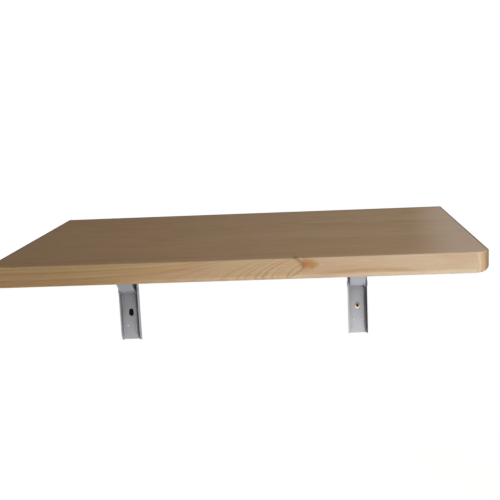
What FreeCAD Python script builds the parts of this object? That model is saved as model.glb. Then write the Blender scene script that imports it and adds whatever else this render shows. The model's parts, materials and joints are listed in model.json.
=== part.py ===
import FreeCAD, Part
import math
import os

V = FreeCAD.Vector

# Wall-mounted folding desk: a pine board carried by two folding steel brackets.
# Frame: +X to the right, +Y into the wall, +Z up, with the wall face at Y = 0.
# The origin lies midway between the two upper wall holes, one in each rail.
# Lengths are in millimetres. "Out" is the distance from the wall towards the room.

# Board
board_length = 600.0
board_depth = 400.0
board_thickness = 26.0
board_corner_radius = 20.0
board_top_round = 1.2
board_bottom_round = 8.0
board_wall_gap = 2.0
pilot_clearance = 0.05

# Bracket layout
bracket_inset_left = 91.5
bracket_inset_right = 135.5
pivot_standoff = 12.0
pivot_spacing = 69.0
wall_hole_drop = 33.0
arm_pivot_drop = 24.0
slide_pin_drop = 9.0
strut_rise_deg = 40.0
strut_folded_deg = -85.0
fold_deg = 90.0

# Sheet steel
sheet = 1.5
bend_inside = 1.0

# Wall rail
rail_width = 31.0
rail_nose = 6.0
rail_head = 9.0
rail_length = 162.5
rail_foot_radius = 14.0
rail_head_radius = 6.0
wall_hole_diameter = 5.5
wall_slot_width = 7.0
wall_slot_length = 12.5
wall_slot_sink = 0.5
wall_slot_rise = 45.5
pip_rise = 23.5
pip_spacing = 14.0
pip_diameter = 4.0
pip_height = 1.0

# Bracket arm
arm_side_gap = 1.6
arm_reach = 300.0
arm_rear_gap = 2.5
arm_skirt = 9.0
arm_skirt_front_radius = 20.0
arm_nose_depth = 12.0
arm_nose_radius = 6.0

# Strut
strut_width = 25.5
strut_web_offset = 8.0
strut_web_start = 15.0
strut_ear_offset = 5.0
strut_rim_offset = 5.5
strut_overhang = 7.0
strut_tip = 6.0
strut_end_radius = 5.0

# Pins, washers and bushes
running_clearance = 0.05
side_play = 0.05
arm_pin_diameter = 8.0
arm_pin_head_diameter = 13.0
arm_pin_head_height = 3.0
arm_washer_diameter = 14.0
strut_pin_diameter = 6.0
strut_pin_head_diameter = 10.0
strut_pin_head_height = 0.8
strut_washer_diameter = 11.0
slide_pin_diameter = 6.0
slide_pin_head_diameter = 10.0
slide_pin_head_height = 2.4
slide_clearance = 0.3
bush_diameter = 10.0
clip_thickness = 0.8
clip_diameter = 11.0
clip_groove_depth = 0.6
clip_mouth = 4.0

# Latch spring
latch_sheet = 0.8
latch_width = 8.0
latch_root = 23.0
latch_top = 5.0
latch_tongue_width = 5.4
latch_tab = 11.0
latch_corner_radius = 2.5
latch_rivet_diameter = 3.0
latch_rivet_head_diameter = 5.5
latch_rivet_head_height = 0.8
latch_rivet_edge = 4.5
latch_rivet_pitch = 8.0

# Screws and plugs
arm_screw_count = 4
arm_screw_first = 40.0
arm_screw_edge = 22.0
arm_screw_diameter = 4.0
arm_screw_bite = 14.0
arm_screw_head_diameter = 8.0
arm_screw_head_height = 2.6
wall_screw_diameter = 4.0
wall_screw_length = 35.0
screw_point = 4.0
screw_clearance = 0.05
recess_width = 1.5
recess_span = 4.6
recess_core_diameter = 3.2
recess_depth = 1.2
plug_diameter = 8.0
plug_length = 32.0
plug_collar_diameter = 13.0
plug_collar_height = 1.2
plug_slit_width = 1.0
plug_slit_length = 18.0
plug_groove_count = 6
plug_groove_width = 1.6
plug_groove_depth = 0.6

# Heights and distances that follow from the sizes above
bracket_spacing = board_length - bracket_inset_left - bracket_inset_right
board_left = -bracket_spacing / 2 - bracket_inset_left
board_right = bracket_spacing / 2 + bracket_inset_right
arm_pivot_z = wall_hole_drop
strut_pivot_z = arm_pivot_z - pivot_spacing
board_under_z = arm_pivot_z + arm_pivot_drop
rail_depth = pivot_standoff + rail_nose
rail_top_z = arm_pivot_z + rail_head
rail_bottom_z = rail_top_z - rail_length
wall_slot_z = rail_bottom_z + wall_slot_rise
pip_z = rail_bottom_z + pip_rise
rail_inner = rail_width - 2 * sheet
arm_inner = rail_width + 2 * arm_side_gap
arm_outer = arm_inner + 2 * sheet
slide_rise = pivot_spacing + arm_pivot_drop - slide_pin_drop
strut_length = slide_rise / math.sin(math.radians(strut_rise_deg))
strut_ratio = (strut_rise_deg - strut_folded_deg) / fold_deg
slot_half_width = slide_pin_diameter / 2 + slide_clearance

# Points closer than this count as one
touching = 1e-6


def out(distance, z, x=0.0):
    """A point at this distance out from the wall."""
    return V(x, -distance, z)


def rounded_face(corners, place):
    """A face whose corners are (a, b, radius), set in space by place(a, b)."""
    ends = []
    edges = []
    for i, (a, b, radius) in enumerate(corners):
        here = V(a, b, 0)
        before = V(*corners[i - 1][:2], 0) - here
        after = V(*corners[(i + 1) % len(corners)][:2], 0) - here
        before.normalize()
        after.normalize()
        half = before.getAngle(after) / 2
        reach = radius / math.tan(half)
        inward = (before + after).normalize()
        middle = here + inward * (radius / math.sin(half) - radius)
        points = [here + before * reach, middle, here + after * reach]
        ends.append([place(p.x, p.y) for p in points])
    for i, (start, middle, end) in enumerate(ends):
        if corners[i][2] > 0:
            edges.append(Part.Arc(start, middle, end).toShape())
        following = ends[(i + 1) % len(ends)][0]
        if following.distanceToPoint(end) > touching:
            edges.append(Part.LineSegment(end, following).toShape())
    return Part.Face(Part.Wire(edges))


def side_prism(corners, width):
    """A solid of this side view, corners as (out, z, radius), centred on X = 0."""
    face = rounded_face(corners, lambda d, z: out(d, z, -width / 2))
    return face.extrude(V(width, 0, 0))


def channel_face(width, depth, place):
    """The U section of a folded channel: place(x, distance from the web's outer face)."""
    half = width / 2
    inside = half - sheet
    outer = bend_inside + sheet
    corners = [
        (-half, depth, 0),
        (-half, 0, outer),
        (half, 0, outer),
        (half, depth, 0),
        (inside, depth, 0),
        (inside, sheet, bend_inside),
        (-inside, sheet, bend_inside),
        (-inside, depth, 0),
    ]
    return rounded_face(corners, place)


def rod(diameter, x0, x1, distance, z):
    """A round bar along X."""
    return Part.makeCylinder(diameter / 2, x1 - x0, out(distance, z, x0), V(1, 0, 0))


def bore(shape, diameter, distance, z):
    """The shape with a hole of this size along X, right through it."""
    return shape.cut(rod(diameter, -arm_outer, arm_outer, distance, z))


def ring(outer, inner, x0, x1, distance, z):
    """A washer or bush along X."""
    return rod(outer, x0, x1, distance, z).cut(rod(inner, x0, x1, distance, z))


def on_both_sides(shape):
    """The shape and its mirror image across the bracket's middle."""
    return Part.makeCompound([shape, shape.mirror(V(0, 0, 0), V(1, 0, 0))])


def domed_head(diameter, height, x, distance, z, facing):
    """A rivet head standing on the plane at x, with its rim rounded."""
    base = out(distance, z, x)
    head = Part.makeCylinder(diameter / 2, height, base, V(facing, 0, 0))
    rim = [e for e in head.Edges if abs(e.CenterOfMass.x - x - facing * height) < height / 10]
    rim = [e for e in rim if len(e.Vertexes) == 1]
    return head.makeFillet(height * 0.75, rim)


def slot_place(fold):
    """Slide pin centre in the arm's own frame: (out from the arm pivot, up from it).

    The strut turns strut_ratio times as far as the board, so the pin traces this curve.
    """
    theta = math.radians(fold)
    beta = math.radians(strut_rise_deg - (strut_ratio - 1) * fold)
    along = pivot_spacing * math.sin(theta) + strut_length * math.cos(beta)
    up = -pivot_spacing * math.cos(theta) + strut_length * math.sin(beta)
    return along, up


def slot_heading(fold):
    """Unit direction in which the pin moves along the slot."""
    theta = math.radians(fold)
    beta = math.radians(strut_rise_deg - (strut_ratio - 1) * fold)
    turn = 1 - strut_ratio
    along = pivot_spacing * math.cos(theta) - strut_length * math.sin(beta) * turn
    up = pivot_spacing * math.sin(theta) + strut_length * math.cos(beta) * turn
    size = math.hypot(along, up)
    return along / size, up / size


def slot_solid():
    """The curved slide slot, cut through both sides of the arm."""
    steps = 12
    near = []
    far = []
    for i in range(steps + 1):
        along, up = slot_place(fold_deg * i / steps)
        heading = slot_heading(fold_deg * i / steps)
        sideways = (-heading[1] * slot_half_width, heading[0] * slot_half_width)
        near.append(arm_point(along + sideways[0], up + sideways[1]))
        far.append(arm_point(along - sideways[0], up - sideways[1]))
    tips = []
    for fold, sense in ((0, -1), (fold_deg, 1)):
        along, up = slot_place(fold)
        heading = slot_heading(fold)
        reach = sense * slot_half_width
        tips.append(arm_point(along + heading[0] * reach, up + heading[1] * reach))
    upper = Part.BSplineCurve()
    upper.interpolate(near)
    lower = Part.BSplineCurve()
    lower.interpolate(far[::-1])
    edges = [
        upper.toShape(),
        Part.Arc(near[-1], tips[1], far[-1]).toShape(),
        lower.toShape(),
        Part.Arc(far[0], tips[0], near[0]).toShape(),
    ]
    return Part.Face(Part.Wire(edges)).extrude(V(2 * arm_outer, 0, 0))


def arm_point(along, up):
    """A point of the arm's frame on the plane left of the bracket."""
    return out(pivot_standoff + along, arm_pivot_z + up, -arm_outer)


def arm_screw_distances():
    """How far out from the wall each board screw stands."""
    pitch = (arm_reach - arm_screw_edge - arm_screw_first) / (arm_screw_count - 1)
    return [arm_screw_first + pitch * i for i in range(arm_screw_count)]


def tabletop():
    """The board, with its screw pilot holes, its front corners and its edges rounded."""
    front = -(board_wall_gap + board_depth)
    corners = [
        (board_left, -board_wall_gap, 0),
        (board_left, front, board_corner_radius),
        (board_right, front, board_corner_radius),
        (board_right, -board_wall_gap, 0),
    ]
    plan = rounded_face(corners, lambda x, y: V(x, y, board_under_z))
    board = plan.extrude(V(0, 0, board_thickness))
    for z, radius in (
        (board_under_z, board_bottom_round),
        (board_under_z + board_thickness, board_top_round),
    ):
        rim = []
        for edge in board.Edges:
            box = edge.BoundBox
            level = abs(box.ZMin - z) < board_top_round / 10 and box.ZLength < board_top_round / 10
            if level and box.YMin < -board_wall_gap - board_top_round:
                rim.append(edge)
        board = board.makeFillet(radius, rim)
    pilot = arm_screw_diameter / 2 + pilot_clearance
    depth = arm_screw_bite + screw_clearance
    for x in (-bracket_spacing / 2, bracket_spacing / 2):
        for distance in arm_screw_distances():
            foot = out(distance, board_under_z, x)
            board = board.cut(Part.makeCylinder(pilot, depth, foot, V(0, 0, 1)))
    return board


def wall_slot(rail):
    """The rail with its oblong wall slot, countersunk from the front."""

    def slot_at(distance, grow):
        reach = wall_slot_length / 2 + grow
        side = wall_slot_width / 2 + grow
        bottom = wall_slot_z - reach
        top = wall_slot_z + reach
        corners = [
            (-side, bottom, side),
            (side, bottom, side),
            (side, top, side),
            (-side, top, side),
        ]
        return rounded_face(corners, lambda x, up: out(distance, up, x))

    through = slot_at(0, 0).extrude(V(0, -sheet, 0))
    sunk = Part.makeLoft(
        [
            slot_at(sheet - wall_slot_sink, 0).OuterWire,
            slot_at(sheet, wall_slot_sink).OuterWire,
        ],
        True,
        True,
    )
    return rail.cut(through).cut(sunk)


def wall_rail():
    """Channel against the wall: its two sides carry both pivots."""
    section = channel_face(rail_width, rail_depth, lambda x, d: out(d, rail_bottom_z, x))
    outline = [
        (0, rail_bottom_z, 0),
        (rail_depth, rail_bottom_z, rail_foot_radius),
        (rail_depth, rail_top_z, rail_head_radius),
        (0, rail_top_z, 0),
    ]
    rail = section.extrude(V(0, 0, rail_length)).common(side_prism(outline, rail_width))
    rail = bore(rail, arm_pin_diameter + 2 * running_clearance, pivot_standoff, arm_pivot_z)
    rail = bore(rail, strut_pin_diameter + 2 * running_clearance, pivot_standoff, strut_pivot_z)
    rail = rail.cut(Part.makeCylinder(wall_hole_diameter / 2, sheet, V(0, 0, 0), V(0, -1, 0)))
    rail = wall_slot(rail)
    ball_radius = ((pip_diameter / 2) ** 2 + pip_height**2) / (2 * pip_height)
    for x in (-pip_spacing / 2, pip_spacing / 2):
        centre = out(sheet + pip_height - ball_radius, pip_z, x)
        ball = Part.makeSphere(ball_radius, centre)
        keep = Part.makeBox(
            pip_diameter * 2,
            sheet,
            pip_diameter * 2,
            out(sheet * 1.5, pip_z - pip_diameter, x - pip_diameter),
        )
        rail = rail.fuse(ball.common(keep))
    return rail.removeSplitter()


def bracket_arm():
    """Channel screwed under the board, hinged on the rail and slotted for the slide pin."""
    length = arm_reach - arm_rear_gap
    depth = arm_pivot_drop + arm_skirt
    section = channel_face(arm_outer, depth, lambda x, d: out(arm_reach, board_under_z - d, x))
    skirt_z = arm_pivot_z - arm_skirt
    taper = pivot_standoff + slot_place(fold_deg)[0]
    outline = [
        (arm_rear_gap, board_under_z, 0),
        (arm_rear_gap, skirt_z, arm_skirt),
        (taper, skirt_z, arm_skirt_front_radius),
        (arm_reach, board_under_z - arm_nose_depth, arm_nose_radius),
        (arm_reach, board_under_z, 0),
    ]
    arm = section.extrude(V(0, length, 0)).common(side_prism(outline, arm_outer))
    arm = bore(arm, arm_pin_diameter + 2 * running_clearance, pivot_standoff, arm_pivot_z)
    arm = arm.cut(slot_solid())
    hole = arm_screw_diameter / 2 + screw_clearance
    for distance in arm_screw_distances():
        foot = out(distance, board_under_z, 0)
        arm = arm.cut(Part.makeCylinder(hole, sheet, foot, V(0, 0, -1)))
    for point in latch_rivet_points():
        shank = latch_rivet_diameter + 2 * running_clearance
        arm = arm.cut(rod(shank, arm_inner / 2, arm_outer / 2, *point))
    return arm


def strut():
    """Channel from the rail's lower pivot up to the slide pin in the arm.

    Its web stops short of the lower pivot, where only the two ears go into the rail.
    """
    base = strut_pivot_z - strut_web_offset
    ear = strut_pivot_z - strut_ear_offset
    rim = strut_pivot_z + strut_rim_offset
    start = pivot_standoff - strut_overhang
    web_start = pivot_standoff + strut_web_start
    end = pivot_standoff + strut_length + strut_tip
    depth = strut_web_offset + strut_rim_offset
    section = channel_face(strut_width, depth, lambda x, d: out(end, base + d, x))
    outline = [
        (start, ear, strut_end_radius),
        (web_start, ear, 0),
        (web_start, base, 0),
        (end, base, strut_end_radius),
        (end, rim, strut_end_radius),
        (start, rim, strut_end_radius),
    ]
    body = section.extrude(V(0, end - start, 0)).common(side_prism(outline, strut_width))
    hole = strut_pin_diameter + 2 * running_clearance
    body = bore(body, hole, pivot_standoff, strut_pivot_z)
    hole = slide_pin_diameter + 2 * running_clearance
    body = bore(body, hole, pivot_standoff + strut_length, strut_pivot_z)
    body.rotate(out(pivot_standoff, strut_pivot_z), V(1, 0, 0), -strut_rise_deg)
    return body


def arm_pivot_pin():
    """Headed pin through the rail and the arm."""
    face = arm_outer / 2 + side_play
    pin = rod(arm_pin_diameter, -face, face, pivot_standoff, arm_pivot_z)
    for facing in (-1, 1):
        head = domed_head(
            arm_pin_head_diameter,
            arm_pin_head_height,
            facing * face,
            pivot_standoff,
            arm_pivot_z,
            facing,
        )
        pin = pin.fuse(head)
    return pin.removeSplitter()


def arm_pivot_washers():
    """Nylon washers that fill the gap between the rail's and the arm's sides."""
    x0 = rail_width / 2 + side_play
    x1 = arm_inner / 2 - side_play
    hole = arm_pin_diameter + 2 * running_clearance
    return on_both_sides(ring(arm_washer_diameter, hole, x0, x1, pivot_standoff, arm_pivot_z))


def strut_pivot_pin():
    """Low-headed rivet that carries the strut's foot in the rail."""
    face = rail_width / 2 + side_play
    pin = rod(strut_pin_diameter, -face, face, pivot_standoff, strut_pivot_z)
    for facing in (-1, 1):
        head = domed_head(
            strut_pin_head_diameter,
            strut_pin_head_height,
            facing * face,
            pivot_standoff,
            strut_pivot_z,
            facing,
        )
        pin = pin.fuse(head)
    return pin.removeSplitter()


def strut_washers():
    """Nylon washers that centre the strut between the rail's sides."""
    x0 = strut_width / 2 + side_play
    x1 = rail_inner / 2 - side_play
    hole = strut_pin_diameter + 2 * running_clearance
    return on_both_sides(ring(strut_washer_diameter, hole, x0, x1, pivot_standoff, strut_pivot_z))


def slide_pin_point():
    """Slide pin centre with the board open: (out from the wall, z)."""
    along, up = slot_place(0)
    return pivot_standoff + along, arm_pivot_z + up


def clip_faces():
    """Both faces of the retaining clip, just inside the arm's latch side."""
    outer = arm_inner / 2 - side_play
    return outer - clip_thickness, outer


def slide_pin():
    """Pin at the strut's upper end that runs in the arm's slot, grooved for its clip."""
    distance, z = slide_pin_point()
    head_x = -arm_outer / 2 - slide_clearance
    pin = rod(slide_pin_diameter, head_x, arm_outer / 2 - side_play, distance, z)
    head = domed_head(
        slide_pin_head_diameter, slide_pin_head_height, head_x, distance, z, -1
    )
    x0, x1 = clip_faces()
    neck = slide_pin_diameter - 2 * clip_groove_depth
    groove = ring(
        slide_pin_diameter * 2, neck, x0 - side_play / 2, x1 + side_play / 2, distance, z
    )
    return pin.fuse(head).removeSplitter().cut(groove)


def slide_bushes():
    """Nylon bushes that keep the strut centred in the arm."""
    distance, z = slide_pin_point()
    hole = slide_pin_diameter + 2 * running_clearance
    inner = strut_width / 2 + side_play
    free_end = arm_inner / 2 - side_play
    clip_end = clip_faces()[0] - side_play
    return Part.makeCompound(
        [
            ring(bush_diameter, hole, -free_end, -inner, distance, z),
            ring(bush_diameter, hole, inner, clip_end, distance, z),
        ]
    )


def slide_pin_clip():
    """Open retaining ring snapped into the slide pin's groove."""
    distance, z = slide_pin_point()
    x0, x1 = clip_faces()
    hole = slide_pin_diameter - 2 * clip_groove_depth + 2 * running_clearance
    clip = ring(clip_diameter, hole, x0, x1, distance, z)
    corner = out(distance + clip_mouth / 2, z - clip_diameter, x0)
    mouth = Part.makeBox(clip_thickness, clip_mouth, clip_diameter, corner)
    return clip.cut(mouth)


def latch_place(along, across):
    """(out, z) of a latch point: along the slot from the tongue, and across it."""
    pin_out, pin_z = slide_pin_point()
    heading = slot_heading(0)
    along = along + slot_half_width
    distance = pin_out + heading[0] * along - heading[1] * across
    return distance, pin_z + heading[1] * along + heading[0] * across


def latch_block(along, across, x0, x1):
    """A square-cornered piece of the latch."""
    corners = [
        (along[0], across[0], 0),
        (along[1], across[0], 0),
        (along[1], across[1], 0),
        (along[0], across[1], 0),
    ]
    face = rounded_face(corners, lambda a, b: out(*latch_place(a, b), x0))
    return face.extrude(V(x1 - x0, 0, 0))


def latch_rivet_points():
    """(out, z) of the two rivets at the latch's root."""
    first = -latch_root + latch_rivet_edge
    return [latch_place(latch_width / 2, first + latch_rivet_pitch * i) for i in range(2)]


def latch_spring():
    """Leaf spring whose tongue blocks the slot in front of the slide pin."""
    face_x = arm_outer / 2
    corners = [
        (0, -latch_root, latch_corner_radius),
        (latch_width, -latch_root, latch_corner_radius),
        (latch_width, latch_top, 0),
        (0, latch_top, 0),
    ]
    leaf = rounded_face(corners, lambda a, b: out(*latch_place(a, b), face_x))
    leaf = leaf.extrude(V(latch_sheet, 0, 0))
    half = latch_tongue_width / 2
    tongue = latch_block((0, latch_sheet), (-half, half), arm_inner / 2 + side_play, face_x)
    tab = latch_block(
        (0, latch_width),
        (latch_top - latch_sheet, latch_top),
        face_x + latch_sheet,
        face_x + latch_tab,
    )
    spring = leaf.fuse([tongue, tab]).removeSplitter()
    for point in latch_rivet_points():
        shank = latch_rivet_diameter + 2 * running_clearance
        spring = spring.cut(rod(shank, face_x, face_x + latch_sheet, *point))
    return spring


def latch_rivets():
    """Rivets that hold the latch spring's root to the arm."""
    inner_x = arm_inner / 2
    outer_x = arm_outer / 2 + latch_sheet
    rivets = []
    for point in latch_rivet_points():
        rivet = rod(latch_rivet_diameter, inner_x, outer_x, *point)
        for x, facing in ((inner_x, -1), (outer_x, 1)):
            head = domed_head(
                latch_rivet_head_diameter, latch_rivet_head_height, x, *point, facing
            )
            rivet = rivet.fuse(head)
        rivets.append(rivet.removeSplitter())
    return Part.makeCompound(rivets)


def cross_recess(face, inward):
    """Cross-shaped driver recess centred on face and cut along inward, built on Z."""
    bars = []
    for size in ((recess_span, recess_width), (recess_width, recess_span)):
        corner = V(-size[0] / 2, -size[1] / 2, 0)
        bars.append(Part.makeBox(size[0], size[1], recess_depth, corner))
    core = Part.makeCylinder(recess_core_diameter / 2, recess_depth)
    cross = core.fuse(bars).removeSplitter()
    turn = FreeCAD.Rotation(V(0, 0, 1), inward)
    cross.Placement = FreeCAD.Placement(face, turn)
    return cross


def arm_screws():
    """Pan-head screws that hold the board on the arm."""
    screws = []
    seat_z = board_under_z - sheet
    for distance in arm_screw_distances():
        foot = out(distance, seat_z)
        length = sheet + arm_screw_bite
        shank = Part.makeCylinder(arm_screw_diameter / 2, length - screw_point, foot)
        tip = Part.makeCone(
            arm_screw_diameter / 2, 0, screw_point, foot + V(0, 0, length - screw_point)
        )
        base = foot - V(0, 0, arm_screw_head_height)
        head = Part.makeCylinder(arm_screw_head_diameter / 2, arm_screw_head_height, base)
        rim = [e for e in head.Edges if abs(e.CenterOfMass.z - base.z) < screw_clearance]
        head = head.makeFillet(arm_screw_head_height / 2, rim)
        screw = shank.fuse([tip, head]).removeSplitter()
        screws.append(screw.cut(cross_recess(base, V(0, 0, 1))))
    return Part.makeCompound(screws)


def wall_screw():
    """Countersunk screw seated in the rail's oblong slot and driven into the wall."""
    face = out(sheet - screw_clearance, wall_slot_z)
    inward = V(0, 1, 0)
    shank_radius = wall_screw_diameter / 2
    head_radius = wall_slot_width / 2 + wall_slot_sink - screw_clearance * 2
    taper = sheet - screw_clearance
    head = Part.makeCone(head_radius, shank_radius, taper, face, inward)
    straight = wall_screw_length - taper - screw_point
    shank = Part.makeCylinder(shank_radius, straight, face + inward * taper, inward)
    tip_base = face + inward * (wall_screw_length - screw_point)
    tip = Part.makeCone(shank_radius, 0, screw_point, tip_base, inward)
    screw = head.fuse([shank, tip]).removeSplitter()
    return screw.cut(cross_recess(face, inward))


def wall_plug():
    """Nylon plug in the wall, with a collar behind the rail, grooves and a split end."""
    mouth = V(0, 0, wall_slot_z)
    inward = V(0, 1, 0)
    plug = Part.makeCylinder(plug_diameter / 2, plug_length, mouth, inward)
    collar = Part.makeCylinder(plug_collar_diameter / 2, plug_collar_height, mouth, inward)
    hole = Part.makeCylinder(
        wall_screw_diameter / 2 + screw_clearance, plug_length, mouth, inward
    )
    body = plug.fuse(collar).removeSplitter().cut(hole)
    pitch = (plug_length - plug_collar_height) / (plug_groove_count + 1)
    neck = plug_diameter / 2 - plug_groove_depth
    for i in range(plug_groove_count):
        start = mouth + inward * (plug_collar_height + pitch * (i + 1) - plug_groove_width / 2)
        wide = Part.makeCylinder(plug_diameter, plug_groove_width, start, inward)
        body = body.cut(wide.cut(Part.makeCylinder(neck, plug_groove_width, start, inward)))
    slit = Part.makeBox(
        plug_slit_width,
        plug_slit_length,
        plug_diameter * 2,
        mouth + V(-plug_slit_width / 2, plug_length - plug_slit_length, -plug_diameter),
    )
    return body.cut(slit)


# One bracket's pieces, built as the right-hand bracket around X = 0
bracket_pieces = {
    "wall_rail": wall_rail,
    "bracket_arm": bracket_arm,
    "strut": strut,
    "arm_pivot_pin": arm_pivot_pin,
    "arm_pivot_washers": arm_pivot_washers,
    "strut_pivot_pin": strut_pivot_pin,
    "strut_washers": strut_washers,
    "slide_pin": slide_pin,
    "slide_bushes": slide_bushes,
    "slide_pin_clip": slide_pin_clip,
    "latch_spring": latch_spring,
    "latch_rivets": latch_rivets,
    "arm_screws": arm_screws,
    "wall_screw": wall_screw,
    "wall_plug": wall_plug,
}

os.makedirs("parts", exist_ok=True)
tabletop().exportStep("parts/tabletop.step")
for name, make in bracket_pieces.items():
    right = make()
    left = right.mirror(V(0, 0, 0), V(1, 0, 0))
    right.translate(V(bracket_spacing / 2, 0, 0))
    left.translate(V(-bracket_spacing / 2, 0, 0))
    right.exportStep("parts/" + name + "_right.step")
    left.exportStep("parts/" + name + "_left.step")
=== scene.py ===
import json
import math

import bpy
from mathutils import Matrix, Vector


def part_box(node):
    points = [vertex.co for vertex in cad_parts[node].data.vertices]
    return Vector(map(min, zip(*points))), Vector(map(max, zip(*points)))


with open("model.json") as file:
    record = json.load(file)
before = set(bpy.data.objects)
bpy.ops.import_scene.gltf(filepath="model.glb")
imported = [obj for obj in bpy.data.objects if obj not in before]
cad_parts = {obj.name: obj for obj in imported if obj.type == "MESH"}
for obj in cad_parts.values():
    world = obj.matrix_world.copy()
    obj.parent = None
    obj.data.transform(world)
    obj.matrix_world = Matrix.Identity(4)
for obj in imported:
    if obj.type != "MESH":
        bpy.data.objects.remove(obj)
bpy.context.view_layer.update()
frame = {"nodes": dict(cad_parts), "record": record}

# Wall-mounted folding desk: a pine board on two folding steel brackets.
# Camera, lamps and floor are placed in metres. The materials count in millimetres.
MM = 1000.0  # millimetres in a metre

# Camera
CAMERA_PLACE = (0.1130, -1.4402, 0.2810)
CAMERA_YAW, CAMERA_PITCH, CAMERA_ROLL = -3.884, -10.146, -2.665
CAMERA_LENS, CAMERA_SENSOR = 64.924, 36.0

# Floor and room
FLOOR_Z, FLOOR_SIZE = -0.66, 40.0
FLOOR_TONE, FLOOR_GLOW = 0.86, 0.68
FLOOR_FADE_FROM, FLOOR_FADE_TO = 0.45, 1.1
WHITE = (1.0, 1.0, 1.0, 1.0)
ROOM_LIGHT = 0.08

# A soft beam from the front right, fading towards the left
KEY_PLACE, KEY_AIM = (0.90, -3.20, 0.66), (0.40, -0.30, 0.0)
KEY_RADIUS, KEY_BEAM_DEG, KEY_POWER = 0.32, 36.0, 330.0
KEY_COLOUR = (1.0, 0.97, 0.93)

# Wide weak lamps: low down like light off a pale floor, above the board, and behind on the left
DISK_LAMPS = {
    "fill": dict(place=(0.30, -0.28, -0.63), aim=(0.25, -0.10, 0.0),
                 size=0.6, power=4.5, colour=(0.96, 0.98, 1.0)),
    "top": dict(place=(0.40, -0.30, 2.0), aim=(0.10, -0.20, 0.0),
                size=1.6, power=7.2, colour=(1.0, 0.95, 0.88)),
    "back": dict(place=(-1.3, 1.1, -0.12), aim=(0.0, 0.0, -0.02),
                 size=1.0, power=12.0, colour=(1.0, 0.98, 0.96)),
}

# The board, its staves and rings, and the knot and ochre arch in its front edge
BOARD_LOW = [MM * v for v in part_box("tabletop")[0]]
BOARD_HIGH = [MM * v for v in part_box("tabletop")[1]]
BOARD_LEFT, BOARD_FRONT, BOARD_UNDER = BOARD_LOW
BOARD_RIGHT, BOARD_BACK, BOARD_TOP = BOARD_HIGH
CORNER_RADIUS = 20.0
STAVE_WIDTH, STAVE_SEED = 66.8, 7.0
RING_PITCH_FRONT, RING_PITCH_BEHIND, RING_PITCH_CORNER = 8.0, 4.2, 5.5
FAN_LENGTH = 34.0
KNOT_X, KNOT_RISE = 108.0, 19.0
ARCH_X, ARCH_CURVE = 185.0, 0.00085

# The wall rails and the two pips pressed out of each
RAIL_SHEET = 1.5
RAIL_X = sum(MM * v[0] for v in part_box("wall_rail_right")) / 2
RAIL_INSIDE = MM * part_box("wall_rail_right")[1][0] - RAIL_X - RAIL_SHEET
RAIL_WEB_Y = (-4.0, -3.0)  # from the flanges back to the web
PIP_RISE, PIP_SPACING, PIP_RADIUS = 23.5, 14.0, 2.0
PIP_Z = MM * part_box("wall_rail_right")[0][2] + PIP_RISE

# The struts' lower pivots and the right wall screw
STRUT_SIDE = MM * (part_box("strut_right")[1][0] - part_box("strut_right")[0][0]) / 2
STRUT_BACK_Y = (-5.0, -4.0)  # from the struts' flanks back to the rail
PIVOT_Y, PIVOT_Z = [MM * (a + b) / 2 for a, b in zip(*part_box("strut_pivot_pin_right"))][1:]
SCREW_FACE_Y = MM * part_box("wall_screw_right")[0][1]
SCREW_Z = sum(MM * v[2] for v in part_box("wall_screw_right")) / 2
PLUG_FACE_Y = (-5.0, -4.0)  # from the washers and bushes back to the plug

# Tones of the pine
# The warm tones, used towards the left, partly paint light falling off to the left
EDGE_PALE, EDGE_WARM = (0.665, 0.52, 0.385), (0.61, 0.40, 0.215)
# The front edge's far right: paler wood with a painted sheen
EDGE_FAR_RIGHT_AND_SHEEN = (0.72, 0.61, 0.45)
TOP_PALE, TOP_WARM = (0.612, 0.435, 0.270), (0.460, 0.288, 0.160)
RING_YELLOW = (0.62, 0.455, 0.225)
LATEWOOD, HEARTWOOD = (0.40, 0.24, 0.11), (0.48, 0.31, 0.155)
FLUSH_RED, PATCH_OLIVE = (0.55, 0.335, 0.235), (0.47, 0.355, 0.185)
KNOT_RED, KNOT_RESIN, KNOT_CORE = (0.50, 0.235, 0.10), (0.48, 0.285, 0.095), (0.32, 0.22, 0.08)
BARK_BROWN = (0.33, 0.19, 0.085)
OCHRE_ARCH, OCHRE_LOW, OCHRE_HIGH = (0.47, 0.29, 0.12), (0.42, 0.25, 0.085), (0.46, 0.275, 0.085)
GLUE_BROWN = (0.30, 0.19, 0.09)
ARRIS_PALE = (0.70, 0.55, 0.39)
CORNER_BROWN, CORNER_ORANGE = (0.42, 0.245, 0.115), (0.58, 0.34, 0.16)
CORNER_DULL = (0.36, 0.275, 0.165)
ARRIS_LINE_DARK = (0.12, 0.105, 0.085)
# Painted sheen on the top's right end
SHEEN_PAINT_PALE = (0.78, 0.62, 0.49)

# Tones of the coated steel
STEEL_DARK, STEEL_LIGHT = (0.345, 0.358, 0.395), (0.415, 0.43, 0.468)
STEEL_FLECK, STEEL_SCUFF = (0.53, 0.535, 0.56), (0.29, 0.295, 0.315)
STEEL_HOLLOW_SHADE, STEEL_SHADE = (0.115, 0.115, 0.122), (0.035, 0.035, 0.04)
STEEL_WORN, RIM_HIGHLIGHT_PALE = (0.60, 0.60, 0.62), (0.60, 0.62, 0.665)
# Painted shade on the struts' flanks round the lower pivot
PIVOT_SHADE_BLACK = (0.022, 0.022, 0.025)
PIP_PALE = (0.80, 0.79, 0.74)

# Tones of the wall screws and of the right plug
# Painted light on the right screw: a pink highlight, olive shade over its top, and dark shade with
# rust in its recess
SCREW_HIGHLIGHT_PINK, SCREW_TOP_SHADE_OLIVE = (0.45, 0.31, 0.22), (0.13, 0.12, 0.075)
SCREW_RUST_AND_SHADE, PLUG_TOP_SHADE = (0.05, 0.016, 0.008), (0.19, 0.175, 0.11)
# The left wall screw's near black: its own black and painted shade of the deep slot
PHOSPHATE_AND_SHADE_DARK, PHOSPHATE_AND_SHADE_LIGHT = (0.004, 0.004, 0.004), (0.009, 0.009, 0.008)
PHOSPHATE_WORN = (0.035, 0.034, 0.032)


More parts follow.
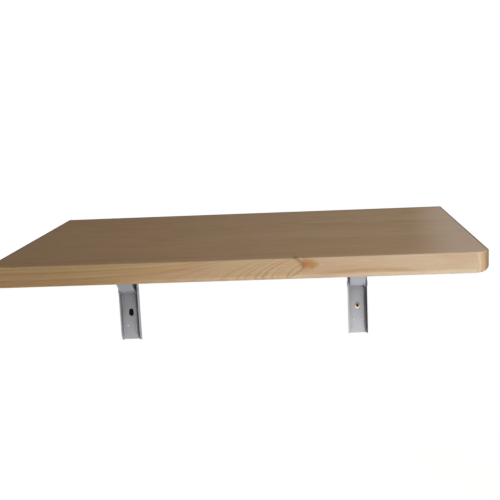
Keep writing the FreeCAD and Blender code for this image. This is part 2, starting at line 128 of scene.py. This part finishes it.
class Number:
    """A node socket that takes part in plain arithmetic."""

    def __init__(self, nodes, socket):
        self.nodes = nodes
        self.socket = socket

    def __add__(self, other):
        return self.nodes.math("ADD", self, other)

    def __sub__(self, other):
        return self.nodes.math("SUBTRACT", self, other)

    def __mul__(self, other):
        return self.nodes.math("MULTIPLY", self, other)

    def __truediv__(self, other):
        return self.nodes.math("DIVIDE", self, other)

    def __radd__(self, other):
        return self.nodes.math("ADD", other, self)

    def __rsub__(self, other):
        return self.nodes.math("SUBTRACT", other, self)

    def __rmul__(self, other):
        return self.nodes.math("MULTIPLY", other, self)

    def __neg__(self):
        return self.nodes.math("MULTIPLY", self, -1.0)

    def floor(self):
        return self.nodes.math("FLOOR", self)

    def fraction(self):
        return self.nodes.math("FRACT", self)

    def absolute(self):
        return self.nodes.math("ABSOLUTE", self)

    def power(self, exponent):
        return self.nodes.math("POWER", self, exponent)

    def exponential(self):
        return self.nodes.math("EXPONENT", self)

    def largest(self, other):
        return self.nodes.math("MAXIMUM", self, other)

    def clamped(self):
        return self.nodes.math("ADD", self, 0.0, clamp=True)

    def square(self):
        return self.nodes.math("MULTIPLY", self, self)

    def bell(self, middle, width):
        """1 at the middle, falling to 0 a few widths away."""
        return (-(((self - middle) / width).square())).exponential()

    def step(self, low, high):
        """Rises smoothly from 0 at low to 1 at high."""
        node = self.nodes.new("ShaderNodeMapRange")
        node.interpolation_type = "SMOOTHSTEP"
        self.nodes.put(self, node.inputs[0])
        self.nodes.put(low, node.inputs[1])
        self.nodes.put(high, node.inputs[2])
        return Number(self.nodes, node.outputs[0])


class Nodes:
    """Builds one material around a Principled shader."""

    def __init__(self, name):
        self.material = bpy.data.materials.new(name)
        self.material.use_nodes = True
        self.tree = self.material.node_tree
        self.tree.nodes.clear()
        self.shader = self.new("ShaderNodeBsdfPrincipled")
        output = self.new("ShaderNodeOutputMaterial")
        self.put(self.shader.outputs[0], output.inputs[0])
        place = self.new("ShaderNodeTexCoord")
        apart = self.new("ShaderNodeSeparateXYZ")
        self.put(place.outputs["Object"], apart.inputs[0])
        self.x, self.y, self.z = [MM * Number(self, s) for s in apart.outputs]

    def new(self, kind):
        return self.tree.nodes.new(kind)

    def put(self, value, socket):
        """Links a socket or a Number to this socket, or sets a plain value on it."""
        if isinstance(value, Number):
            value = value.socket
        if isinstance(value, bpy.types.NodeSocket):
            self.tree.links.new(value, socket)
        else:
            socket.default_value = value

    def set(self, **values):
        """Sets the shader's own sockets, named with _ for a space."""
        for name, value in values.items():
            self.put(value, self.shader.inputs[name.replace("_", " ")])

    def math(self, operation, *values, clamp=False):
        node = self.new("ShaderNodeMath")
        node.operation = operation
        node.use_clamp = clamp
        for value, socket in zip(values, node.inputs):
            self.put(value, socket)
        return Number(self, node.outputs[0])

    def distance(self, a, b):
        """Distance over two offsets at right angles."""
        return (a.square() + b.square()).power(0.5)

    def point(self, x, y, z):
        node = self.new("ShaderNodeCombineXYZ")
        for value, socket in zip((x, y, z), node.inputs):
            self.put(value, socket)
        return node.outputs[0]

    def here(self):
        """The place in millimetres."""
        return self.point(self.x, self.y, self.z)

    def noise(self, point, scale=1.0, detail=2.0, roughness=0.5):
        """Noise about 0.5 at a point."""
        node = self.new("ShaderNodeTexNoise")
        self.put(point, node.inputs["Vector"])
        node.inputs["Scale"].default_value = scale
        node.inputs["Detail"].default_value = detail
        node.inputs["Roughness"].default_value = roughness
        return Number(self, node.outputs[0])

    def chance(self, number):
        """Three numbers from 0 to 1, drawn by a whole number."""
        node = self.new("ShaderNodeTexWhiteNoise")
        node.noise_dimensions = "1D"
        self.put(number, node.inputs["W"])
        apart = self.new("ShaderNodeSeparateColor")
        self.put(node.outputs["Color"], apart.inputs[0])
        return [Number(self, s) for s in apart.outputs]

    def cells(self, point, scale):
        """Distance from the middle of the nearest of many small cells."""
        node = self.new("ShaderNodeTexVoronoi")
        self.put(point, node.inputs["Vector"])
        node.inputs["Scale"].default_value = scale
        return Number(self, node.outputs["Distance"])

    def blend(self, share, first, second, kind="MIX"):
        """The first colour, with this share of the second."""
        node = self.new("ShaderNodeMix")
        node.data_type = "RGBA"
        node.blend_type = kind
        node.clamp_factor = True
        self.put(share, node.inputs[0])
        for value, socket in ((first, node.inputs[6]), (second, node.inputs[7])):
            self.put(value if not isinstance(value, tuple) else (*value, 1.0), socket)
        return node.outputs[2]

    def times(self, colour, value):
        """The colour, lighter or darker by this number."""
        node = self.new("ShaderNodeCombineColor")
        for socket in node.inputs:
            self.put(value, socket)
        return self.blend(1.0, colour, node.outputs[0], "MULTIPLY")

    def bump(self, height, distance):
        """Raises the surface by this height times this distance, in millimetres."""
        node = self.new("ShaderNodeBump")
        node.inputs["Strength"].default_value = 1.0
        node.inputs["Distance"].default_value = distance / MM
        self.put(height, node.inputs["Height"])
        return node.outputs[0]

    def recesses(self, reach):
        """0 in the open, towards 1 in corners and hollows within this reach in millimetres."""
        node = self.new("ShaderNodeAmbientOcclusion")
        node.samples = 8
        node.inputs["Distance"].default_value = reach / MM
        return 1.0 - Number(self, node.outputs["AO"])

    def edges(self, radius):
        """1 along the edges within this radius in millimetres, 0 on flat faces."""
        gain = 3.5
        rounded = self.new("ShaderNodeBevel")
        rounded.samples = 4
        rounded.inputs["Radius"].default_value = radius / MM
        flat = self.new("ShaderNodeNewGeometry")
        node = self.new("ShaderNodeVectorMath")
        node.operation = "DOT_PRODUCT"
        self.put(rounded.outputs[0], node.inputs[0])
        self.put(flat.outputs["True Normal"], node.inputs[1])
        return ((1.0 - Number(self, node.outputs["Value"])) * gain).clamped()


def brighter(colour, times):
    """A constant colour times a number, and no channel above 1."""
    return tuple(min(1.0, v * times) for v in colour)


def from_right_screw(n):
    """Distance from the right wall screw's axis, and height above it."""
    above = n.z - SCREW_Z
    return n.distance(n.x - RAIL_X, above), above


def pine_board():
    """Glued pine staves with growth rings, a knot in the front edge and a satin lacquer, with painted
    light: a falloff towards the left and a sheen along the right end.
    """
    n = Nodes("pine_board")
    x, y, z = n.x, n.y, n.z
    up = z - (BOARD_UNDER + BOARD_TOP) / 2
    rise = z - BOARD_UNDER
    depth = y - BOARD_FRONT
    stave = (depth / STAVE_WIDTH).floor()
    front = 1.0 - depth.step(STAVE_WIDTH - 0.4, STAVE_WIDTH + 0.4)
    face = 1.0 - depth.step(3.0, 9.0)
    near = depth.bell(0.0, 16.0)
    first, second, third = n.chance(stave + STAVE_SEED)

    # Slow wander and ripple of the grain, fine fibres and streaks, all long in X
    wander = n.noise(n.point(x * 0.006, y * 0.03, z * 0.03)) - 0.5
    ripple = n.noise(n.point(x * 0.02, y * 0.12, z * 0.12)) - 0.5
    fibre = n.noise(n.point(x * 0.05, y * 2.2, z * 2.2), 1.0, 3.0, 0.6)
    streak = n.noise(n.point(x * 0.012, y * 0.45, z * 0.45))

    # Rings of the staves behind the front one, around a heart outside each stave
    across = ((depth / STAVE_WIDTH).fraction() - 0.5) * STAVE_WIDTH
    heart_y = (first - 0.5) * 70.0
    heart_z = 34.0 + second * 40.0
    lean = (third - 0.5) * 0.05
    radius = n.distance(across - heart_y, up + heart_z)
    rings_behind = (radius + x * lean + wander * 22.0 + ripple * 3.0) / RING_PITCH_BEHIND

    # Rings of the front stave: level on the left, fanning up towards the knot, unevenly spaced
    climb = n.math("LOGARITHM", (x / FAN_LENGTH).exponential() + 1.0, math.e)
    climb = FAN_LENGTH * climb * near
    fan = rise * 0.72 + rise.power(3.0) * 0.0012
    rings_front = (fan - climb + depth * 0.55 + wander * 9.0 + ripple * 3.0) / RING_PITCH_FRONT
    uneven = n.noise(n.point(rings_front, 0.0, 0.0), 0.6, 0.0) - 0.5
    rings_front = rings_front + uneven * 1.3
    bend = KNOT_X - 4.0 - 0.10 * (rise - KNOT_RISE + 2.5).square()
    past_knot = x.step(bend - 2.5, bend + 2.5) * depth.bell(0.0, 30.0)

    def latewood(rings, start):
        """Darkens through each ring and ends sharply, more in some rings than in others."""
        part = rings.fraction()
        strength = 0.15 + 0.90 * n.chance(rings.floor())[0]
        return part.step(start, 0.90) * (1.0 - part.step(0.92, 1.0)) * strength

    lines_front = latewood(rings_front, 0.45) * (1.0 - past_knot * 0.9)
    lines_behind = latewood(rings_behind, 0.35) * 0.5
    lines = lines_behind + (lines_front - lines_behind) * front
    lines = lines * (0.45 + streak)

    # Warm and darker on the left, pale on the right: partly the wood's own tone, partly painted light
    # falling off towards the left, and a painted sheen paling the front edge's far right. Some yellow
    # rings in the front edge.
    warm_and_dim_left = 1.0 - x.step(-260.0, 300.0)
    edge_tone = n.blend(warm_and_dim_left, EDGE_PALE, EDGE_WARM)
    edge_tone = n.blend(x.step(160.0, 310.0) * 0.45, edge_tone, EDGE_FAR_RIGHT_AND_SHEEN)
    pale = n.blend(face, n.blend(warm_and_dim_left, TOP_PALE, TOP_WARM), edge_tone)
    yellow = n.chance(rings_front.floor())[1].step(0.35, 0.85) * near * (1.0 - past_knot)
    pale = n.blend(yellow * 0.34, pale, RING_YELLOW)
    colour = n.blend(lines * 0.75, pale, LATEWOOD)

    # Heartwood tone of each stave, and broad red and olive patches
    tone = (third - 0.5) * 0.5 * (1.0 - front) + wander * 0.5
    colour = n.blend((tone * 0.6 + 0.12).clamped(), colour, HEARTWOOD)
    patch = n.noise(n.point(x * 0.012, y * 0.02, z * 0.04))
    colour = n.blend(patch.step(0.48, 0.66) * 0.26, colour, FLUSH_RED)
    olive = (1.0 - patch.step(0.34, 0.52)) * (1.0 - face)
    colour = n.blend(olive * 0.30, colour, PATCH_OLIVE)

    # Knot in the front edge: a red-brown wedge that runs out to the right in ochre
    past = x - KNOT_X
    off_knot = rise - KNOT_RISE
    wedge = (off_knot + past * 0.08).bell(0.0, 6.6 - past * 0.30) * near
    knot = wedge * past.step(-6.5, -3.0) * (1.0 - past.step(4.0, 12.0))
    resin = wedge * past.step(1.0, 8.0) * (1.0 - past.step(11.0, 17.0))
    core = past.bell(6.5, 2.2) * off_knot.bell(-4.0, 1.8) * near
    colour = n.blend(knot, colour, KNOT_RED)
    colour = n.blend(resin * 0.8, colour, KNOT_RESIN)
    colour = n.blend(core * 0.5, colour, KNOT_CORE)

    # Brown bark bent round the knot, broad and dark above it and thin below
    above = rise.step(12.0, 19.0)
    bark = x.bell(bend, 1.7 + above * 1.5) * rise.step(0.0, 6.0) * near
    colour = n.blend(bark * (0.55 + above * 0.25), colour, BARK_BROWN)

    # Ochre streaks on the front edge: an arch right of the knot, and two level ones on the left
    arch = (up + (x - ARCH_X).square() * ARCH_CURVE).bell(-3.8, 2.1)
    arch = arch * x.step(112.0, 150.0) * (1.0 - x.step(215.0, 258.0)) * near
    low_left = up.bell(-9.0, 3.0) * (1.0 - x.step(-140.0, -60.0)) * near
    high_left = (up - wander * 4.0).bell(4.0, 2.6) * (1.0 - x.step(-60.0, 40.0)) * near
    colour = n.blend(arch * 0.55, colour, OCHRE_ARCH)
    colour = n.blend(low_left * 0.7, colour, OCHRE_LOW)
    colour = n.blend(high_left * 0.25, colour, OCHRE_HIGH)

    # Glue lines, fibres, a lighter left end of the front edge, and rubbed arrises
    seam = (across.absolute() - STAVE_WIDTH / 2).absolute()
    glue = (1.0 - seam.step(0.1, 0.5)) * (1.0 - front * 0.5)
    colour = n.blend(glue * 0.35, colour, GLUE_BROWN)
    colour = n.times(colour, 0.80 + fibre * 0.40)
    far_left = (1.0 - x.step(BOARD_LEFT, BOARD_LEFT + 108.0)) * face
    colour = n.times(colour, 1.0 + far_left * 0.14)
    worn = n.edges(1.6) * (0.4 + streak)
    colour = n.blend(worn * 0.35, colour, ARRIS_PALE)

    # Ring ends round the right front corner, an orange-brown band and a dull one beyond it
    below_top = 1.0 - z.step(BOARD_TOP - 1.5, BOARD_TOP)
    corner = (1.0 - depth.step(CORNER_RADIUS, CORNER_RADIUS + 30.0)) * below_top
    past_corner = x - BOARD_RIGHT + CORNER_RADIUS + (rise - 10.0).square() * 0.02
    bands = latewood(past_corner / RING_PITCH_CORNER + ripple, 0.4)
    bands = bands * past_corner.step(-4.0, 6.0) * corner
    orange = x.step(BOARD_RIGHT - 12.5, BOARD_RIGHT - 10.5) * corner
    dull = x.step(BOARD_RIGHT - 8.0, BOARD_RIGHT - 4.0) * corner
    colour = n.blend(bands * 0.45, colour, CORNER_BROWN)
    colour = n.blend(orange * 0.6, colour, CORNER_ORANGE)
    colour = n.blend(dull * 0.85, colour, CORNER_DULL)

    # A dark line along the upper arrises of the sides and the back
    at_right = x.step(BOARD_RIGHT - 3.6, BOARD_RIGHT - 1.4)
    at_left = 1.0 - x.step(BOARD_LEFT + 2.0, BOARD_LEFT + 5.0)
    at_back = y.step(BOARD_BACK - 8.0, BOARD_BACK - 3.0)
    arris_line = at_right.largest(at_left).largest(at_back) * z.step(BOARD_TOP - 2.2, BOARD_TOP - 1.2)
    colour = n.blend(arris_line * 0.85, colour, ARRIS_LINE_DARK)

    # Painted sheen along the right end of the top, further in towards the front: a pale haze in the
    # colour, and a glossier lacquer there
    forward = 1.0 - depth / (BOARD_BACK - BOARD_FRONT)
    inward = BOARD_RIGHT - x - 6.0 - forward * 40.0 + (streak - 0.5) * 24.0
    on_top = z.step(BOARD_TOP - 0.6, BOARD_TOP - 0.2)
    sheen = (1.0 - inward.step(-16.0, 50.0)) * (1.0 - arris_line) * on_top
    colour = n.blend(sheen * 0.58, colour, SHEEN_PAINT_PALE)
    n.set(
        Base_Color=colour,
        Roughness=0.52 + lines * 0.10 + (fibre - 0.5) * 0.14,
        Specular_IOR_Level=0.006 + sheen * 0.035,
        Normal=n.bump(fibre * 0.6 - lines * 0.5 - glue * 0.6, 0.09),
    )
    return n.material


def grey_steel():
    """Light grey powder coat: orange peel, painted shade in the hollows and down the rails, worn edges
    and pale pips.
    """
    n = Nodes("grey_steel")
    place = n.here()
    peel = n.noise(place, 0.85, 2.0, 0.55)
    grain = n.noise(place, 4.5, 1.0)
    cloud = n.noise(place, 0.035, 3.0)
    scuffs = n.noise(n.point(n.x * 1.6, n.y * 0.5, n.z * 0.08), 1.0, 3.0, 0.6).step(0.66, 0.78)
    # Painted shade in corners and hollows, patchy with the cloud noise, also taking off some gloss
    hollow_shade = (n.recesses(60.0) * (0.5 + cloud)).step(0.22, 0.85)
    edge = n.edges(0.9)
    worn = edge * n.noise(place, 0.4, 3.0).step(0.38, 0.66)
    right_half = n.x.step(-1.0, 1.0)
    from_rail = n.x - RAIL_X * (right_half * 2.0 - 1.0)
    at_web = n.y.step(*RAIL_WEB_Y)

    # Pips pressed out of each rail's web, pale, most of all the left rail's outer one
    from_pip = n.distance(from_rail.absolute() - PIP_SPACING / 2, n.z - PIP_Z)
    pip = (1.0 - from_pip.step(PIP_RADIUS * 0.5, PIP_RADIUS * 1.1)) * at_web
    outer_left = (1.0 - right_half) * (1.0 - from_rail.step(-1.0, 1.0))
    pip_paleness = 0.38 + outer_left * 0.42

    # Painted highlight along the right rail's left rim
    rim_highlight = edge * (1.0 - from_rail.step(-RAIL_INSIDE - 0.2, -RAIL_INSIDE + 0.3))
    rim_highlight = rim_highlight * right_half * (1.0 - at_web)

    # Painted shade on the inner side and front edge of each rail's right flange
    inner_side_shade = from_rail.step(RAIL_INSIDE - 0.6, RAIL_INSIDE - 0.1) * (1.0 - at_web)
    inner_side_shade = inner_side_shade * (1.0 - from_rail.step(RAIL_INSIDE + 0.9, RAIL_INSIDE + 1.4))

    # Painted shade, near black, on the struts' flanks round the lower pivot, darkening the gaps beside
    # the struts
    from_pivot = n.distance(n.y - PIVOT_Y, n.z - PIVOT_Z)
    pivot_shade = from_rail.absolute().bell(STRUT_SIDE, 0.5) * (1.0 - from_pivot.step(24.0, 52.0))
    pivot_shade = pivot_shade * (1.0 - n.y.step(*STRUT_BACK_Y))

    # Painted shade: the rails' webs darker towards the top, paler towards the foot
    lit_foot = 1.0 - n.z.step(PIP_Z - 14.0, PIP_Z + 36.0)
    colour = n.blend(cloud, STEEL_DARK, STEEL_LIGHT)
    colour = n.blend(grain.step(0.58, 0.8) * 0.35, colour, STEEL_FLECK)
    colour = n.blend(scuffs * 0.22, colour, STEEL_SCUFF)
    colour = n.blend(hollow_shade * 0.68, colour, STEEL_HOLLOW_SHADE)
    colour = n.times(colour, 1.0 + at_web * (lit_foot * 0.14 - 0.09))
    colour = n.blend(inner_side_shade * 0.9, colour, STEEL_SHADE)
    colour = n.blend(pivot_shade * 0.92, colour, PIVOT_SHADE_BLACK)
    colour = n.blend(worn * (0.6 - inner_side_shade * 0.45), colour, STEEL_WORN)
    colour = n.blend(rim_highlight * 0.6, colour, RIM_HIGHLIGHT_PALE)
    colour = n.blend(pip * pip_paleness, colour, PIP_PALE)
    n.set(
        Base_Color=colour,
        Roughness=0.46 + (peel - 0.5) * 0.16 + scuffs * 0.10,
        Specular_IOR_Level=(0.4 - hollow_shade * 0.3) * (1.0 - inner_side_shade) * (1.0 - pivot_shade * 0.9),
        Normal=n.bump(peel + grain * 0.12, 0.12),
    )
    return n.material


def bare_metal(name, dark, light, roughness, tint=None, rust_and_shade=None):
    """Plated metal: turning marks, blotches, rubbed edges and, where given, a screw head with painted
    light: a highlight low on it, shade over its top, and shade with a rust stain in and round its
    recess.
    """
    n = Nodes(name)
    place = n.here()
    blotch = n.noise(place, 0.35, 3.0, 0.6)
    turned = n.noise(n.point(n.x * 7.0, n.y * 0.25, n.z * 0.25))
    edge = n.edges(0.5)
    colour = n.blend(blotch.step(0.3, 0.7), dark, light)
    if tint is not None:
        colour = n.blend(n.noise(place, 0.22).step(0.45, 0.72) * 0.6, colour, tint)
    colour = n.blend(n.cells(place, 0.9).step(0.1, 0.9) * 0.18, colour, dark)
    colour = n.blend(edge * 0.5, colour, brighter(light, 1.25))
    rust_and_shade_share = 0.0
    if rust_and_shade is not None:
        # Painted light on the right screw head: a pink highlight just below its middle, olive shade
        # over its top, and dark shade with rust in and round its recess
        off_axis, above = from_right_screw(n)
        recess_shade = n.y.step(SCREW_FACE_Y + 0.05, SCREW_FACE_Y + 0.20)
        rust_and_shade_share = recess_shade.largest(1.0 - off_axis.step(1.9, 2.9))
        colour = n.blend(above.bell(-0.6, 1.6) * 0.75, colour, SCREW_HIGHLIGHT_PINK)
        colour = n.blend(above.step(0.0, 2.0) * 0.9, colour, SCREW_TOP_SHADE_OLIVE)
        colour = n.blend(rust_and_shade_share, colour, rust_and_shade)
    n.set(
        Base_Color=colour,
        Metallic=1.0 - rust_and_shade_share,
        Specular_IOR_Level=0.5 - rust_and_shade_share * 0.45,
        Roughness=roughness + (blotch - 0.5) * 0.2 - edge * 0.08 + rust_and_shade_share * 0.4,
        Normal=n.bump(turned * 0.5 + blotch * 0.5, 0.03),
    )
    return n.material


def moulded_nylon(name, dark, light, gloss=0.4, top_shade=None):
    """Moulded nylon: flow marks, fine grain, polished edges and, where given, painted shade round the
    screw and above it.
    """
    n = Nodes(name)
    place = n.here()
    flow = n.noise(place, 0.25, 3.0)
    grain = n.noise(place, 3.0)
    edge = n.edges(0.6)
    colour = n.blend(flow, dark, light)
    colour = n.blend(edge * 0.4, colour, brighter(light, 1.2))
    if top_shade is not None:
        # Painted shade on the plug round the screw and above it
        off_axis, above = from_right_screw(n)
        shaded_top = (1.0 - off_axis.step(7.0, 10.0)) * above.step(-4.5, 1.0)
        shaded_top = shaded_top * n.y.step(*PLUG_FACE_Y)
        colour = n.blend(shaded_top * (0.7 + flow * 0.4), colour, top_shade)
    n.set(
        Base_Color=colour,
        Roughness=0.44 + (grain - 0.5) * 0.2 - edge * 0.1,
        Specular_IOR_Level=gloss,
        Normal=n.bump(grain, 0.04),
    )
    return n.material


def black_screw():
    """Black phosphated screw, near black for its own black and painted shade of the deep slot, rubbed
    grey along its edges.
    """
    n = Nodes("black_screw")
    blotch = n.noise(n.here(), 0.6, 3.0)
    edge = n.edges(0.35)
    colour = n.blend(blotch, PHOSPHATE_AND_SHADE_DARK, PHOSPHATE_AND_SHADE_LIGHT)
    colour = n.blend(edge * 0.25, colour, PHOSPHATE_WORN)
    n.set(
        Base_Color=colour,
        Roughness=0.62 + (blotch - 0.5) * 0.2,
        Specular_IOR_Level=0.03,
        Normal=n.bump(blotch, 0.03),
    )
    return n.material


materials = {
    "pine_board": pine_board(),
    "grey_steel": grey_steel(),
    "zinc_steel": bare_metal(
        "zinc_steel", dark=(0.50, 0.51, 0.53), light=(0.68, 0.69, 0.71), roughness=0.34
    ),
    "spring_steel": bare_metal(
        "spring_steel", dark=(0.33, 0.33, 0.35), light=(0.46, 0.46, 0.48), roughness=0.30,
        tint=(0.42, 0.36, 0.30),
    ),
    "yellow_zinc": bare_metal(
        "yellow_zinc", dark=(0.66, 0.50, 0.25), light=(0.84, 0.69, 0.42), roughness=0.34,
        tint=(0.74, 0.55, 0.42), rust_and_shade=SCREW_RUST_AND_SHADE,
    ),
    "white_nylon": moulded_nylon(
        "white_nylon", dark=(0.74, 0.73, 0.69), light=(0.80, 0.79, 0.76), top_shade=PLUG_TOP_SHADE
    ),
    "grey_nylon": moulded_nylon(
        "grey_nylon", dark=(0.15, 0.155, 0.165), light=(0.20, 0.205, 0.215)
    ),
    # Near black nylon: its own black and painted shade of the deep slot
    "black_nylon": moulded_nylon(
        "black_nylon", dark=(0.005, 0.005, 0.005), light=(0.009, 0.009, 0.010), gloss=0.03
    ),
    "black_screw": black_screw(),
}
for part in frame["record"]["subparts"]:
    node = frame["nodes"][part["node"]]
    node.data.materials.clear()
    node.data.materials.append(materials[part["material_slot"]])


def seen_by_eye(tree):
    """1 for rays that show the background: camera, glossy and transmission rays."""
    path = tree.nodes.new("ShaderNodeLightPath")
    total = path.outputs["Is Camera Ray"]
    for name in ("Is Glossy Ray", "Is Transmission Ray"):
        node = tree.nodes.new("ShaderNodeMath")
        node.operation = "MAXIMUM"
        tree.links.new(total, node.inputs[0])
        tree.links.new(path.outputs[name], node.inputs[1])
        total = node.outputs[0]
    return total


def white_room():
    """White to look at and in reflections, with a plain soft light on everything."""
    world = bpy.data.worlds.new("room")
    bpy.context.scene.world = world
    world.use_nodes = True
    tree = world.node_tree
    tree.nodes.clear()
    seen, lit = [tree.nodes.new("ShaderNodeBackground") for _ in range(2)]
    seen.inputs[0].default_value = WHITE
    lit.inputs[0].default_value = WHITE
    lit.inputs[1].default_value = ROOM_LIGHT
    mix = tree.nodes.new("ShaderNodeMixShader")
    tree.links.new(seen_by_eye(tree), mix.inputs[0])
    tree.links.new(lit.outputs[0], mix.inputs[1])
    tree.links.new(seen.outputs[0], mix.inputs[2])
    output = tree.nodes.new("ShaderNodeOutputWorld")
    tree.links.new(mix.outputs[0], output.inputs[0])


def floor():
    """A pale floor below the desk, brightened to the eye, which turns to plain white further off."""
    mesh = bpy.data.meshes.new("floor")
    half = FLOOR_SIZE / 2
    corners = [(-half, -half), (half, -half), (half, half), (-half, half)]
    mesh.from_pydata([(a, b, FLOOR_Z) for a, b in corners], [], [(0, 1, 2, 3)])
    obj = bpy.data.objects.new("floor", mesh)
    bpy.context.collection.objects.link(obj)
    material = bpy.data.materials.new("floor")
    material.use_nodes = True
    tree = material.node_tree
    tree.nodes.clear()
    eye = seen_by_eye(tree)

    # Near the desk: a matt floor that takes shadows, and a glow for the eye alone
    diffuse = tree.nodes.new("ShaderNodeBsdfDiffuse")
    diffuse.inputs[0].default_value = (FLOOR_TONE, FLOOR_TONE, FLOOR_TONE, 1.0)
    glow, white = [tree.nodes.new("ShaderNodeEmission") for _ in range(2)]
    strength = tree.nodes.new("ShaderNodeMath")
    strength.operation = "MULTIPLY"
    strength.inputs[1].default_value = FLOOR_GLOW
    tree.links.new(eye, strength.inputs[0])
    tree.links.new(strength.outputs[0], glow.inputs[1])
    near = tree.nodes.new("ShaderNodeAddShader")
    tree.links.new(diffuse.outputs[0], near.inputs[0])
    tree.links.new(glow.outputs[0], near.inputs[1])

    # Further off: plain white for the eye, by the distance along the floor
    place = tree.nodes.new("ShaderNodeTexCoord")
    flat = tree.nodes.new("ShaderNodeVectorMath")
    flat.operation = "MULTIPLY"
    flat.inputs[1].default_value = (1.0, 1.0, 0.0)
    tree.links.new(place.outputs["Object"], flat.inputs[0])
    far = tree.nodes.new("ShaderNodeVectorMath")
    far.operation = "LENGTH"
    tree.links.new(flat.outputs[0], far.inputs[0])
    fade = tree.nodes.new("ShaderNodeMapRange")
    fade.interpolation_type = "SMOOTHSTEP"
    fade.inputs[1].default_value = FLOOR_FADE_FROM
    fade.inputs[2].default_value = FLOOR_FADE_TO
    tree.links.new(far.outputs["Value"], fade.inputs[0])
    share = tree.nodes.new("ShaderNodeMath")
    share.operation = "MULTIPLY"
    tree.links.new(fade.outputs[0], share.inputs[0])
    tree.links.new(eye, share.inputs[1])
    white.inputs[1].default_value = 1.0
    mix = tree.nodes.new("ShaderNodeMixShader")
    tree.links.new(share.outputs[0], mix.inputs[0])
    tree.links.new(near.outputs[0], mix.inputs[1])
    tree.links.new(white.outputs[0], mix.inputs[2])
    output = tree.nodes.new("ShaderNodeOutputMaterial")
    tree.links.new(mix.outputs[0], output.inputs[0])
    mesh.materials.append(material)


def set_lamp(data, place, aim, power, colour):
    """Puts a lamp in its place, turned to its aim and hidden from the camera."""
    data.energy = power
    data.color = colour
    obj = bpy.data.objects.new(data.name, data)
    obj.location = place
    obj.rotation_mode = "QUATERNION"
    obj.rotation_quaternion = (Vector(aim) - Vector(place)).to_track_quat("-Z", "Y")
    obj.visible_camera = False
    bpy.context.collection.objects.link(obj)


def lamps():
    """The key beam and the wide weak lamps."""
    key = bpy.data.lights.new("key", "SPOT")
    key.shadow_soft_size = KEY_RADIUS
    key.spot_size = math.radians(KEY_BEAM_DEG)
    key.spot_blend = 1.0
    set_lamp(key, KEY_PLACE, KEY_AIM, KEY_POWER, KEY_COLOUR)
    for name, lamp in DISK_LAMPS.items():
        data = bpy.data.lights.new(name, "AREA")
        data.shape = "DISK"
        data.size = lamp["size"]
        set_lamp(data, lamp["place"], lamp["aim"], lamp["power"], lamp["colour"])


def camera():
    """The photo's view, turned by yaw, pitch and roll."""
    yaw, pitch, roll = [math.radians(a) for a in (CAMERA_YAW, CAMERA_PITCH, CAMERA_ROLL)]
    forward = Vector(
        (math.sin(yaw) * math.cos(pitch), math.cos(yaw) * math.cos(pitch), math.sin(pitch))
    )
    level = forward.cross(Vector((0, 0, 1))).normalized()
    upright = level.cross(forward)
    right = math.cos(roll) * level + math.sin(roll) * upright
    up = right.cross(forward)
    turn = Matrix((right, up, -forward)).transposed()
    data = bpy.data.cameras.new("camera")
    data.lens = CAMERA_LENS
    data.sensor_width = CAMERA_SENSOR
    obj = bpy.data.objects.new("camera", data)
    obj.matrix_world = Matrix.Translation(CAMERA_PLACE) @ turn.to_4x4()
    bpy.context.collection.objects.link(obj)
    bpy.context.scene.camera = obj


white_room()
floor()
lamps()
camera()
bpy.context.scene.view_settings.view_transform = "Standard"
